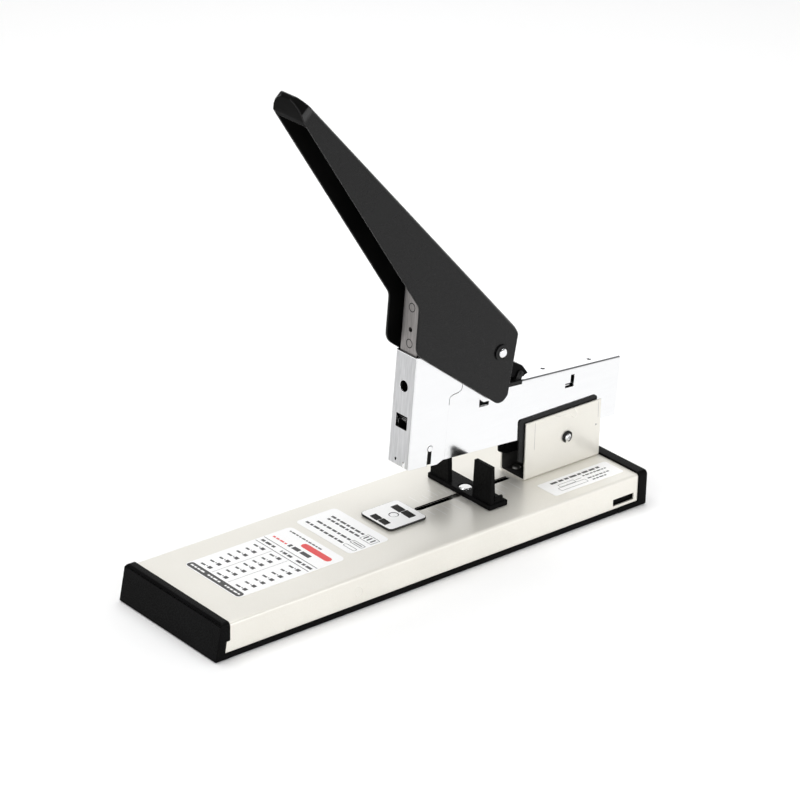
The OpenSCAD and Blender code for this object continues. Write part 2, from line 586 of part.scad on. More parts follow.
module pusher_spring() color([0.7, 0.7, 0.72]) at_head()
    translate([pusher_x0 + pusher_len, 0, rod_z]) rotate([0, 90, 0])
        coil(2.3, 0.6, end_x - pusher_x0 - pusher_len, 14, 5, 12);

// ================= latch =================
module latch_mount() color([0.07, 0.07, 0.075]) at_head() difference() {
    union() {
        // saddle over the channel
        difference() {
            box(latch_x - 9, latch_x - 0.4, -channel_half - 0.6, channel_half + 0.6, channel_top - 1.6,
                channel_top + 0.6);
            along(latch_x - 10, latch_x) channel_profile(0);
        }
        both_sides() wall(-6.4, -5.8) outline([
            [latch_x - 4, channel_top + 0.1, 0], [latch_x, channel_top + 0.1, 0],
            [latch_x + 2.4, latch_z + 0.8, 1.8], [latch_x - 1.6, latch_z + 2.1, 1.6]]);
    }
    rod_y(latch_x, latch_z, 1, -20, 20);
}
module latch_pin() color([0.07, 0.07, 0.075]) at_head() rod_y(latch_x, latch_z, 1, -6.8, 6.8);
module magazine_latch() color([0.06, 0.06, 0.065]) at_head() difference() {
    union() {
        across(5.4) outline([
            [latch_x - 10, channel_top + 3.4, 1], [latch_x - 4, channel_top + 1.7, 0.5],
            [latch_x + 1.4, channel_top + 1, 0.5], [latch_x + 5.7, channel_top + 2.6, 0.4],
            [latch_x + 1.2, channel_top + 7.6, 0.6], [latch_x - 5, channel_top + 10.6, 1],
            [latch_x - 10, channel_top + 9.6, 1.5]]);
        box(latch_x + 1.8, latch_x + 4.4, -2.4, 2.4, channel_top - 0.4, channel_top + 3);
    }
    rod_y(latch_x, latch_z, 1 + running, -20, 20);
    translate([latch_x - 7, 0, channel_top]) cylinder(r = 2.6, h = 4.4);
}
module latch_spring() color([0.7, 0.7, 0.72]) at_head()
    translate([latch_x - 7, 0, channel_top + 0.6]) coil(1.8, 0.5, 3.6, 3.5);

// ================= handle =================
// Side outline of the handle at rest. Points from the rear corner along the back to the tip and round.
back_u = [-cos(back_slope), sin(back_slope)];
back_n = [sin(back_slope), cos(back_slope)];
rear_corner = [grip_x + 9.5, grip_z + 11.5];
function on_back(t, d) = [rear_corner.x, rear_corner.y] + back_u * t + back_n * d;
lip = 2.8;                               // depth of the tip's square part
end_in = 8.5;                            // below it the end wall slopes in this far
end_low = 7.8;                           // down to this depth
function end_wall(depth, inset) = on_back(handle_len - (depth - lip) * end_in / (end_low - lip)
    - inset * norm([end_in, end_low - lip]) / (end_low - lip), -depth);
module handle_side() {
    tip = on_back(handle_len, 0);
    lip_corner = end_wall(lip, 0);
    low_tip = end_wall(end_low, 0);
    outline([
        [grip_x + 10.8, grip_z + 8, 1], [rear_corner.x, rear_corner.y, 1.5],
        [tip.x, tip.y, 1.5], [lip_corner.x, lip_corner.y, 1.6], [low_tip.x, low_tip.y, 0],
        [140.2, 131, 7], [140.2, 106, 8], [grip_x - 4.6, grip_z - 25.3, 0],
        [grip_x + 3, grip_z - 30.4, 5.4], [grip_x + 7.4, grip_z - 25, 3]]);
}
// Plan outline of the handle, seen square to its back: parallel sides and a round tip
module handle_plan(inset) {
    half = handle_half - inset;
    end = handle_len + gap - inset;
    square_to_back() translate([0, 0, -60]) linear_extrude(200) outline([[-80, -half, 0],
        [end, -half, 12 - inset], [end, half, 12 - inset], [-80, half, 0]]);
}
// Cross-section of the handle, with its two long bends round
module handle_section(inset) {
    half = handle_half - inset;
    square_to_back() along(-80, 260) outline([[-half, inset, bend_r - inset], [half, inset, bend_r - inset],
        [half, 160, 0], [-half, 160, 0]]);
}
// Local X runs along the back to the tip, local Z into the handle
module square_to_back() {
    translate([rear_corner.x, 0, rear_corner.y]) rotate([0, back_slope + 180, 0]) children();
}
module handle_shell() color([0.07, 0.07, 0.075]) at_head() difference() {
    intersection() {
        across(handle_half) handle_side();
        handle_plan(0);
        handle_section(0);
    }
    // hollow, open along the front, the bottom and the rear edge
    intersection() {
        across(handle_half - handle_sheet) hollow_side();
        handle_plan(handle_sheet);
        handle_section(handle_sheet);
    }
    rod_y(grip_x, grip_z, grip_r + running, -30, 30);
    for (t = lever_rivet_t) lever_rivet_at(t) translate([0, 0, -5]) cylinder(r = 1.6, h = 10);
}
module hollow_side() {
    a = on_back(0, -handle_sheet);
    b = on_back(handle_len - handle_sheet, -handle_sheet);
    c = end_wall(2, handle_sheet);
    d = end_wall(10, handle_sheet);
    outline([[a.x + 3, a.y - 3.5, 0], [a.x, a.y, 0], [b.x, b.y, 0.2], [c.x, c.y, 0], [d.x, d.y, 0],
        [60, 40, 0], [230, 40, 0], [230, a.y - 3.5, 0]]);
}
lever_rivet_t = [24, 40];
module lever_rivet_at(t) {
    p = on_back(t, 0);
    translate([p.x, 0, p.y]) rotate([0, back_slope, 0]) children();
}
module press_lever() color([0.55, 0.55, 0.57]) at_head() difference() {
    union() {
        both_sides() wall(-4.7, -3.3) lever_side();
        lever_web();
    }
    rod_y(grip_x, grip_z, grip_r + running, -30, 30);
    rod_y(link_x, link_z, link_pin_r, -30, 30);
    for (t = lever_rivet_t) lever_rivet_at(t) translate([0, 0, -5]) cylinder(r = 1.6, h = 10);
}
lever_t0 = 14;
lever_t1 = 48;                           // the lever stops short of the driver at full press
module lever_side() {
    a = on_back(lever_t0, -handle_sheet);
    b = on_back(lever_t1, -handle_sheet);
    polygon([[grip_x + 4, grip_z + 6], [a.x, a.y], [b.x, b.y], [link_x + 1, link_z + 4],
        [link_x, link_z - 4], [grip_x - 4, grip_z - 6]]);
    translate([grip_x, grip_z]) circle(7);
    translate([link_x, link_z]) circle(4.1);
}
module lever_web() {
    a = on_back(lever_t0, -handle_sheet);
    b = on_back(lever_t1, -handle_sheet);
    across(3.4) polygon([[a.x, a.y], [b.x, b.y], [b.x - 1.4 * back_n.x, b.y - 1.4 * back_n.y],
        [a.x - 1.4 * back_n.x, a.y - 1.4 * back_n.y]]);
}
module lever_rivets() color([0.06, 0.06, 0.06]) at_head() for (t = lever_rivet_t) lever_rivet_at(t) {
    translate([0, 0, -handle_sheet - 1.4]) cylinder(r = 1.6, h = handle_sheet + 1.4);
    cylinder(r1 = 2.8, r2 = 2, h = 0.7);
}
module link_pin() color([0.8, 0.8, 0.82]) at_head() rod_y(link_x, link_z, link_pin_r, -6.3, 6.3);

base_shell();
front_cap();
rear_cap();
bottom_cover();
rubber_feet();
bottom_screws();
base_stiffener();
rear_bracket();
bracket_rivets();
head_axle();
axle_clips();
lift_spring();
size_label();
note_label();
rear_label();
anvil_post();
anvil_clip();
anvil_spring();
anvil_plate();
depth_guide();
guide_stud();
guide_washer();
guide_clamp();
head_channel();
head_yoke();
yoke_rivets();
front_housing();
housing_rivets();
nose_studs();
handle_pin();
handle_clips();
inner_bushes();
outer_bushes();
handle_spring();
driver_blade();
driver_hammer();
driver_rivets();
magazine_rail();
magazine_end();
pusher_rod();
staple_stick();
pusher();
pusher_spring();
latch_mount();
latch_pin();
magazine_latch();
latch_spring();
handle_shell();
press_lever();
lever_rivets();
link_pin();
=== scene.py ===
"""Looks for the heavy-duty stapler with a long base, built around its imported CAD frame.

Sizes are in millimetres measured from the base's front end, as in part.scad, and become metres in
place(). The parts that carry a slot's finish get one procedural material each.
"""

import json
import math

import bmesh
import bpy
from mathutils import Matrix, Vector


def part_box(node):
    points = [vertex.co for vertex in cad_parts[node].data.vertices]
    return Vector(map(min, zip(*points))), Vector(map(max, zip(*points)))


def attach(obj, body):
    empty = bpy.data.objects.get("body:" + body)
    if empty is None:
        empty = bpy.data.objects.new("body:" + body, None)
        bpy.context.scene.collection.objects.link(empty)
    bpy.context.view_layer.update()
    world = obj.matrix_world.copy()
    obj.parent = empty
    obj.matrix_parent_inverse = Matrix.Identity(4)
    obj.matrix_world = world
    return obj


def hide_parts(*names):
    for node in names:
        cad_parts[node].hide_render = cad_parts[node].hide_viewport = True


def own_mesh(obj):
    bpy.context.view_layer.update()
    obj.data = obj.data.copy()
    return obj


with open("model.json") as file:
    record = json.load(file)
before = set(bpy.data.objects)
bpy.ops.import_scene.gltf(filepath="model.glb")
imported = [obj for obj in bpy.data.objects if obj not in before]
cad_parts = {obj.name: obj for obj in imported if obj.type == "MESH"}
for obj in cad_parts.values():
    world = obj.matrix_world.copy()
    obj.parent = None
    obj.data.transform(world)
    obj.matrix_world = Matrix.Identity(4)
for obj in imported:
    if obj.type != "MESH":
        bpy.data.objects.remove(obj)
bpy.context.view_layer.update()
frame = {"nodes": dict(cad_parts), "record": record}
MM = 0.001
FRONT_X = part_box("front_cap")[0].x       # front end of the base
BASE_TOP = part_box("base_shell")[1].z
LABEL_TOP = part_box("size_label")[1].z
RECORD = frame["record"]
BODY_OF = {n: b for b, nodes in RECORD["behaviour"]["bodies"].items() for n in nodes}
SLOT_OF = {p["node"]: p["material_slot"] for p in RECORD["subparts"]}


def place(x, y, z=0.0):
    """A point given in millimetres from the base's front end, in metres in the frame."""
    return Vector((FRONT_X + x * MM, y * MM, z * MM))


HEAD_RAISE = math.radians(4.0)           # the head's raised rest, up from level
PIVOT = (253.0, 36.9)                    # the head's hinge pin, X and Z


def at_head(x, y, z):
    """A point of the head, given level, at the head's raised rest."""
    dx, dz = x - PIVOT[0], z - PIVOT[1]
    c, s = math.cos(HEAD_RAISE), math.sin(HEAD_RAISE)
    return place(PIVOT[0] + dx * c + dz * s, y, PIVOT[1] - dx * s + dz * c)


# ---------------- materials ----------------
class Nodes:
    """Short names for building one material's node tree."""

    def __init__(self, name):
        self.material = bpy.data.materials.new(name)
        self.material.use_nodes = True
        self.tree = self.material.node_tree
        self.shader = self.tree.nodes["Principled BSDF"]
        self.where = self.tree.nodes.new("ShaderNodeTexCoord").outputs["Object"]

    def put(self, value, socket):
        """Links a socket, or sets a plain value."""
        if isinstance(value, bpy.types.NodeSocket):
            self.tree.links.new(value, socket)
        else:
            socket.default_value = value

    def stretched(self, x, y, z):
        node = self.tree.nodes.new("ShaderNodeMapping")
        node.inputs["Scale"].default_value = (x, y, z)
        self.tree.links.new(self.where, node.inputs["Vector"])
        return node.outputs["Vector"]

    def noise(self, scale, detail=2.0, roughness=0.5, vector=None):
        node = self.tree.nodes.new("ShaderNodeTexNoise")
        self.put(vector or self.where, node.inputs["Vector"])
        node.inputs["Scale"].default_value = scale
        node.inputs["Detail"].default_value = detail
        node.inputs["Roughness"].default_value = roughness
        return node.outputs["Fac"]

    def cells(self, scale):
        node = self.tree.nodes.new("ShaderNodeTexVoronoi")
        self.put(self.where, node.inputs["Vector"])
        node.inputs["Scale"].default_value = scale
        return node.outputs["Distance"]

    def span(self, value, low, high, to_low, to_high):
        """Maps low..high of a value to to_low..to_high, clamped."""
        node = self.tree.nodes.new("ShaderNodeMapRange")
        self.put(value, node.inputs["Value"])
        ends = {"From Min": low, "From Max": high, "To Min": to_low, "To Max": to_high}
        for key, number in ends.items():
            node.inputs[key].default_value = number
        return node.outputs["Result"]

    def blend(self, factor, a, b):
        """Colour a where the factor is 0, b where it is 1."""
        node = self.tree.nodes.new("ShaderNodeMix")
        node.data_type = "RGBA"
        self.put(factor, node.inputs["Factor"])
        self.put(a, node.inputs[6])
        self.put(b, node.inputs[7])
        return node.outputs[2]

    def add(self, a, b, share):
        """a plus share times b."""
        node = self.tree.nodes.new("ShaderNodeMath")
        node.operation = "MULTIPLY_ADD"
        self.put(b, node.inputs[0])
        node.inputs[1].default_value = share
        self.put(a, node.inputs[2])
        return node.outputs[0]

    def bump(self, height, distance, strength=1.0):
        node = self.tree.nodes.new("ShaderNodeBump")
        node.inputs["Strength"].default_value = strength
        node.inputs["Distance"].default_value = distance
        self.put(height, node.inputs["Height"])
        self.tree.links.new(node.outputs["Normal"], self.shader.inputs["Normal"])

    def surface(self, colour, roughness, **fixed):
        self.put(colour, self.shader.inputs["Base Color"])
        self.put(roughness, self.shader.inputs["Roughness"])
        for key, number in fixed.items():
            self.shader.inputs[key.replace("_", " ")].default_value = number
        return self.material


def grey(level, tint=(1.0, 1.0, 1.0)):
    return (level * tint[0], level * tint[1], level * tint[2], 1.0)


def cream_paint():
    """Satin champagne enamel: fine metal flake, faint orange peel, cloudy gloss."""
    n = Nodes("cream_paint")
    flake = n.noise(5200, 1.0)
    cloud = n.noise(24, 2.0)
    base = n.blend(n.span(cloud, 0.3, 0.7, 0.0, 1.0), (0.75, 0.728, 0.665, 1), (0.79, 0.768, 0.705, 1))
    colour = n.blend(n.span(flake, 0.52, 0.72, 0.0, 0.45), base, (0.95, 0.94, 0.90, 1))
    n.bump(n.add(n.noise(520, 1.0), flake, 0.12), 0.00002, 0.3)
    return n.surface(colour, n.span(cloud, 0.3, 0.7, 0.27, 0.34), Metallic=0.22, Coat_Weight=0.3,
                     Coat_Roughness=0.12)


def black_paint():
    """Baked satin black: a fine powder grain, an uneven sheen and faint scuffs."""
    n = Nodes("black_paint")
    grain = n.noise(2600, 2.0, 0.6)
    cloud = n.noise(30, 2.0)
    scuff = n.noise(1.0, 4.0, 0.65, n.stretched(260, 900, 120))
    colour = n.blend(n.span(grain, 0.35, 0.7, 0.0, 1.0), grey(0.005), grey(0.010, (1.0, 1.0, 1.04)))
    colour = n.blend(n.span(scuff, 0.66, 0.8, 0.0, 0.5), colour, grey(0.03))
    n.bump(grain, 0.00002, 0.4)
    return n.surface(colour, n.span(cloud, 0.3, 0.7, 0.2, 0.29), Specular_IOR_Level=0.2)


def black_plastic():
    """Moulded plastic with an eroded grain."""
    n = Nodes("black_plastic")
    grain = n.cells(1500)
    cloud = n.noise(40, 2.0)
    colour = n.blend(n.span(cloud, 0.3, 0.7, 0.0, 1.0), grey(0.0025), grey(0.005, (1.0, 1.0, 1.05)))
    n.bump(n.add(grain, n.noise(900, 2.0), 0.6), 0.00002, 0.4)
    return n.surface(colour, n.span(grain, 0.0, 0.8, 0.2, 0.32), Specular_IOR_Level=0.03)


def painted_shade_material(name, level):
    """Painted shade: a near-black finish for the inner faces of a pressed part and other shaded faces,
    with a faint warm mottle.
    """
    n = Nodes(name)
    shade_mottle = n.noise(45, 3.0, 0.6)
    colour = n.blend(n.span(shade_mottle, 0.35, 0.7, 0.0, 1.0), grey(level), grey(level * 2.2, (1.0, 0.97, 0.92)))
    n.bump(n.noise(900, 2.0), 0.00001, 0.4)
    return n.surface(colour, n.span(shade_mottle, 0.3, 0.7, 0.6, 0.75), Specular_IOR_Level=0.04)


def rubber():
    n = Nodes("rubber")
    dust = n.noise(700, 3.0, 0.65)
    colour = n.blend(n.span(dust, 0.45, 0.75, 0.0, 1.0), grey(0.022), grey(0.06))
    n.bump(n.noise(3000, 2.0), 0.00004, 0.6)
    return n.surface(colour, n.span(dust, 0.3, 0.7, 0.72, 0.9), Specular_IOR_Level=0.3)


def plated(name, level, tint, low, high, along=(6, 900, 900), depth=0.000004, spread=0.06):
    """Plated or drawn steel: streaks along X by default, with roughness that follows them."""
    n = Nodes(name)
    streak = n.noise(1.0, 3.0, 0.6, n.stretched(*along))
    cloud = n.noise(60, 2.0)
    colour = n.blend(n.span(streak, 0.3, 0.7, 0.0, 1.0), grey(level - spread, tint), grey(level, tint))
    n.bump(n.add(streak, n.noise(2200, 2.0), 0.3), depth, 0.5)
    return n.surface(colour, n.span(n.add(streak, cloud, 0.5), 0.4, 1.1, low, high), Metallic=1.0)


def label_film():
    """Printed film: white with a faint paper fibre and a soft gloss."""
    n = Nodes("label_film")
    fibre = n.noise(1800, 3.0, 0.6)
    colour = n.blend(n.span(fibre, 0.3, 0.7, 0.0, 1.0), grey(0.90), grey(0.95))
    n.bump(fibre, 0.00001, 0.3)
    return n.surface(colour, n.span(fibre, 0.3, 0.7, 0.33, 0.42))


def ink(name, colour):
    """Printed ink: slightly broken coverage."""
    n = Nodes(name)
    speck = n.noise(4200, 2.0)
    paper = [0.75 * c + 0.22 for c in colour[:3]] + [1.0]
    broken = n.blend(n.span(speck, 0.62, 0.78, 0.0, 0.5), colour, paper)
    return n.surface(broken, n.span(speck, 0.3, 0.7, 0.3, 0.42))


MATERIALS = {
    "cream_paint": cream_paint(),
    "black_paint": black_paint(),
    "black_plastic": black_plastic(),
    "rubber": rubber(),
    "chrome": plated("chrome", 0.90, (0.985, 0.99, 1.0), 0.10, 0.2, (40, 40, 1500), spread=0.03),
    "bright_steel": plated("bright_steel", 0.88, (1.0, 1.0, 1.0), 0.16, 0.3),
    "brushed_steel": plated("brushed_steel", 0.33, (1.0, 0.95, 0.93), 0.3, 0.44, (900, 900, 8),
                            0.00001, 0.14),
    "spring_steel": plated("spring_steel", 0.6, (1.0, 1.0, 1.03), 0.25, 0.38, (500, 500, 500)),
    "zinc_steel": plated("zinc_steel", 0.7, (1.0, 0.99, 0.95), 0.3, 0.45, (120, 120, 120)),
    "bush_brass": plated("bush_brass", 0.8, (1.0, 0.82, 0.5), 0.25, 0.35, (600, 8, 600)),
    "label_film": label_film(),
}
FRONT_STEEL = plated("front_steel", 0.64, (0.98, 0.985, 1.0), 0.26, 0.4, (1200, 1200, 9),
                     0.00001, 0.16)
ANVIL_NICKEL = plated("anvil_nickel", 0.97, (1.0, 1.0, 0.995), 0.3, 0.46, (300, 300, 300),
                      spread=0.04)
# Painted shade: near-black finishes for faces that lie in shade, inside steel parts, inside the handle's
# black paint, and on edges and recesses.
INSIDE_SHADE_STEEL = painted_shade_material("inside_steel_painted_shade", 0.006)
INSIDE_SHADE_PAINT = painted_shade_material("inside_paint_painted_shade", 0.002)
PAINTED_SHADE_STEEL = painted_shade_material("painted_shade_steel", 0.03)
INK_BLACK = ink("ink_black", grey(0.03))
INK_GREY = ink("ink_grey", grey(0.32))
INK_RED = ink("ink_red", (0.72, 0.05, 0.05, 1.0))
INK_LIGHT = ink("ink_light", grey(0.9))


# ---------------- pieces ----------------
def piece(name, mesh, body, materials, replaced=()):
    """Adds a mesh as a piece of the object."""
    made = bpy.data.objects.new(name, mesh)
    bpy.context.scene.collection.objects.link(made)
    for m in materials:
        mesh.materials.append(m)
    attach(made, body)
    if replaced:
        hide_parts(*replaced)
    return made


# Other finishes on one node: a material, and a test of a face's centre and normal.
ANVIL_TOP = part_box("anvil_plate")[1].z
HOUSING_FRONT = place(147, 0).x          # rear-facing faces before this back the front wall
FRONT_LIMIT = place(153, 0).x            # front-facing faces before this are the head's front
HANDLE_HALF_INSIDE = 11.6 * MM           # half the handle's inner width


def faces_in(centre, normal):
    """A side wall's inner face, or the underside of a top: faces painted dark as shade."""
    return normal.z < -0.7 or (abs(normal.y) > 0.7 and normal.y * centre.y < 0)


def behind_front(centre, normal):
    """The side walls' inner faces, and the back of the front wall, painted dark as shade."""
    wall = faces_in(centre, normal) and abs(normal.y) > 0.7
    return wall or (normal.x > 0.7 and centre.x < HOUSING_FRONT)


def front_face(centre, normal):
    return normal.x < -0.9 and centre.x < FRONT_LIMIT


# The bracket's inner walls and floor, painted dark as shade on its cream paint.
def bracket_inside(centre, normal):
    wall = abs(normal.y) > 0.7 and normal.y * centre.y < 0
    return wall or (normal.z > 0.7 and centre.z < BASE_TOP + 2 * MM)


def front_end(centre, normal):
    """The front face, and the walls seen through the window in front of it, painted dark as shade."""
    return normal.x < -0.7 or faces_in(centre, normal)


# The handle's inner faces, painted darker than its black paint as shade.
def handle_inside(centre, normal):
    return abs(centre.y) < HANDLE_HALF_INSIDE and (faces_in(centre, normal) or normal.x < -0.3)


def anvil_dark(centre, normal):
    """The plate's edge, and the floors of its crescents: painted dark as shade and dark reflection."""
    return abs(normal.z) < 0.5 or (normal.z > 0 and centre.z < ANVIL_TOP - 0.04 * MM)


# The near-black finishes below are painted shade on faces that lie in shade: inner walls, undersides,
# recesses and edges.
FINISHES = {
    "base_shell": [(INSIDE_SHADE_STEEL, faces_in)],
    "head_channel": [(INSIDE_SHADE_STEEL, faces_in)],
    "front_housing": [(FRONT_STEEL, front_face), (INSIDE_SHADE_STEEL, behind_front)],
    "handle_shell": [(INSIDE_SHADE_PAINT, handle_inside)],
    "rear_bracket": [(PAINTED_SHADE_STEEL, bracket_inside)],
    "staple_stick": [(INSIDE_SHADE_STEEL, front_end)],
    "magazine_rail": [(INSIDE_SHADE_STEEL, front_end)],
    "magazine_end": [(INSIDE_SHADE_STEEL, front_end)],
    "anvil_plate": [(PAINTED_SHADE_STEEL, anvil_dark)],
}
MAIN_FINISH = {"anvil_plate": ANVIL_NICKEL}


def rounded_copy(node, width, angle=32, segments=2):
    """A CAD node's shape with its flat faces joined and its sharp edges rounded."""
    bm = bmesh.new()
    bm.from_mesh(frame["nodes"][node].data)
    bmesh.ops.remove_doubles(bm, verts=bm.verts, dist=1e-6)
    bmesh.ops.dissolve_limit(bm, angle_limit=math.radians(0.4), verts=bm.verts, edges=bm.edges)
    bm.normal_update()
    finishes = FINISHES.get(node, [])
    for face in bm.faces:
        face.smooth = True
        face.material_index = 0
        centre = face.calc_center_median()
        for i, (_, test) in enumerate(finishes):
            if test(centre, face.normal):
                face.material_index = i + 1
    mesh = bpy.data.meshes.new(node + "_fine")
    bm.to_mesh(mesh)
    bm.free()
    if "custom_normal" in mesh.attributes:
        mesh.attributes.remove(mesh.attributes["custom_normal"])
    main = MAIN_FINISH.get(node, MATERIALS[SLOT_OF[node]])
    materials = [main] + [m for m, _ in finishes]
    made = piece(node + "_fine", mesh, BODY_OF[node], materials, [node])
    bevel = made.modifiers.new("edges", "BEVEL")
    bevel.width = width * MM
    bevel.segments = segments
    bevel.limit_method = "ANGLE"
    bevel.angle_limit = math.radians(angle)
    bevel.use_clamp_overlap = False
    # The anvil's rounded edges take its painted shade and dark reflection too.
    bevel.material = 1 if node == "anvil_plate" else 0
    made.modifiers.new("normals", "WEIGHTED_NORMAL").keep_sharp = False
    return made


# The width of each node's rounded edges, in millimetres.
EDGES = {
    "base_shell": 0.25, "front_cap": 0.45, "rear_cap": 0.45, "bottom_cover": 0.2, "rubber_feet": 0.4,
    "bottom_screws": 0.1, "base_stiffener": 0.15, "rear_bracket": 0.2, "bracket_rivets": 0.15,
    "head_axle": 0.12, "axle_clips": 0.1, "anvil_post": 0.12, "anvil_clip": 0.08, "anvil_plate": 0.3,
    "depth_guide": 0.35, "guide_stud": 0.12, "guide_washer": 0.1, "guide_clamp": 0.15,
    "head_channel": 0.12, "head_yoke": 0.12, "yoke_rivets": 0.1, "front_housing": 0.14,
    "housing_rivets": 0.1, "nose_studs": 0.12, "handle_pin": 0.15, "handle_clips": 0.1,
    "inner_bushes": 0.15, "outer_bushes": 0.15, "driver_blade": 0.08, "driver_hammer": 0.15,
    "driver_rivets": 0.1, "magazine_rail": 0.1, "magazine_end": 0.15, "pusher_rod": 0.2,
    "staple_stick": 0.08, "pusher": 0.2, "latch_mount": 0.08, "latch_pin": 0.15,
    "magazine_latch": 0.3, "handle_shell": 0.4, "press_lever": 0.15, "lever_rivets": 0.15,
    "link_pin": 0.2,
}
for node_name, edge in EDGES.items():
    rounded_copy(node_name, edge)


# ---------------- springs ----------------
def coil(node, start, end, radius, wire, turns, sides=8, steps=28):
    """A wire coil from start to end in place of a CAD node, with its first and last turn closed."""
    axis = (end - start).normalized()
    length = (end - start).length / MM
    side = axis.orthogonal().normalized()
    other = axis.cross(side)
    bm = bmesh.new()
    count = round(turns * steps)
    open_turns = max(turns - 2.0, 0.5)
    closed = 0.9 * wire                  # climb of a closed turn
    climb_open = length - wire - 2 * closed
    rings = []
    for i in range(count + 1):
        turn = turns * i / count
        climb = (min(turn, 1.0) * closed
                 + min(max(turn - 1.0, 0.0), open_turns) / open_turns * climb_open
                 + max(turn - 1.0 - open_turns, 0.0) * closed)
        out = side * math.cos(math.tau * turn) + other * math.sin(math.tau * turn)
        middle = start + axis * (wire / 2 + climb) * MM + out * radius * MM
        rings.append([bm.verts.new(middle + (out * math.cos(math.tau * k / sides) + axis * math.sin(
            math.tau * k / sides)) * wire / 2 * MM) for k in range(sides)])
    for a, b in zip(rings, rings[1:]):
        for k in range(sides):
            bm.faces.new((a[k], a[(k + 1) % sides], b[(k + 1) % sides], b[k])).smooth = True
    bm.faces.new(rings[0])
    bm.faces.new(rings[-1][::-1])
    bmesh.ops.recalc_face_normals(bm, faces=bm.faces)
    mesh = bpy.data.meshes.new(node + "_wire")
    bm.to_mesh(mesh)
    bm.free()
    return piece(node + "_wire", mesh, BODY_OF[node], [MATERIALS[SLOT_OF[node]]], [node])


def springs():
    """The five springs, each a wire coil in place of its CAD node.
    """
    seat, top = place(237.5, 0, 19.8), place(237.5, 0, 40.5)
    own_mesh(coil("lift_spring", seat, top, 4, 1, 6.5))
    low, high = place(143.3, 0, 7.5), place(143.3, 0, 17.55)
    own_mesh(coil("anvil_spring", low, high, 3.7, 0.7, 5))
    front, back = at_head(222.8, 0, 69.6), at_head(284, 0, 69.6)
    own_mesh(coil("pusher_spring", front, back, 2.3, 0.6, 14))
    foot, head = at_head(212, 0, 75.3), at_head(212, 0, 78.9)
    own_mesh(coil("latch_spring", foot, head, 1.8, 0.5, 3.5))
    pin_x, pin_z, half = 197.8, 96.4, 2.9
    coil("handle_spring", at_head(pin_x, -half, pin_z), at_head(pin_x, half, pin_z), 3.8, 1, 4.5)


springs()


def rivet_rings():
    """Dark rings round the two flush rivets that show in the handle's open front: painted shade standing
    in for the edges of their heads.
    """
    bm = bmesh.new()
    blade_x, inner, outer, steps = 145.9, 1.95, 2.45, 40
    sunk, proud = blade_x + 0.02, blade_x - 0.03
    for z in (106.9, 126.2):
        loops = []
        for radius, x in ((inner, sunk), (inner, proud), (outer, proud), (outer, sunk)):
            loops.append([])
            for k in range(steps):
                a = math.tau * k / steps
                at = at_head(x, radius * math.cos(a), z + radius * math.sin(a))
                loops[-1].append(bm.verts.new(at))
        for a, b in zip(loops, loops[1:] + loops[:1]):
            for k in range(steps):
                bm.faces.new((a[k], a[(k + 1) % steps], b[(k + 1) % steps], b[k]))
    bmesh.ops.recalc_face_normals(bm, faces=bm.faces)
    mesh = bpy.data.meshes.new("rivet_rings")
    bm.to_mesh(mesh)
    bm.free()
    piece("rivet_rings", mesh, "driver", [PAINTED_SHADE_STEEL])


rivet_rings()


def keyhole_shades():
    """A thin dark sheet behind the keyhole slot on each side of the housing: painted shade for the
    recess.
    """
    bm = bmesh.new()
    front, back, low, high, peak = 156.9, 159.9, 40.6, 50.6, 51.4
    outline = ((front, low), (back, low), (back, high), ((front + back) / 2, peak), (front, high))
    for side in (-1, 1):
        ends = []
        for y in (7.45, 7.6):
            ends.append([bm.verts.new(at_head(x, side * y, z)) for x, z in outline])
        bm.faces.new(ends[0])
        bm.faces.new(ends[1][::-1])
        for i in range(5):
            j = (i + 1) % 5
            bm.faces.new((ends[0][i], ends[1][i], ends[1][j], ends[0][j]))
    bmesh.ops.recalc_face_normals(bm, faces=bm.faces)
    mesh = bpy.data.meshes.new("keyhole_shades")
    bm.to_mesh(mesh)
    bm.free()
    piece("keyhole_shades", mesh, "head", [INSIDE_SHADE_STEEL])


keyhole_shades()


# ---------------- printed marks ----------------
INK_SINK, INK_RISE = 0.01, 0.025         # how far a mark sinks into and stands above its surface


def corners(x0, x1, y0, y1, r, n=4):
    """A rectangle's outline with round corners."""
    points = []
    centres = ((x1 - r, y1 - r, 0), (x0 + r, y1 - r, 90), (x0 + r, y0 + r, 180), (x1 - r, y0 + r, 270))
    for cx, cy, a0 in centres:
        for i in range(n + 1):
            a = math.radians(a0 + 90 * i / n)
            points.append((cx + r * math.cos(a), cy + r * math.sin(a)))
    return points


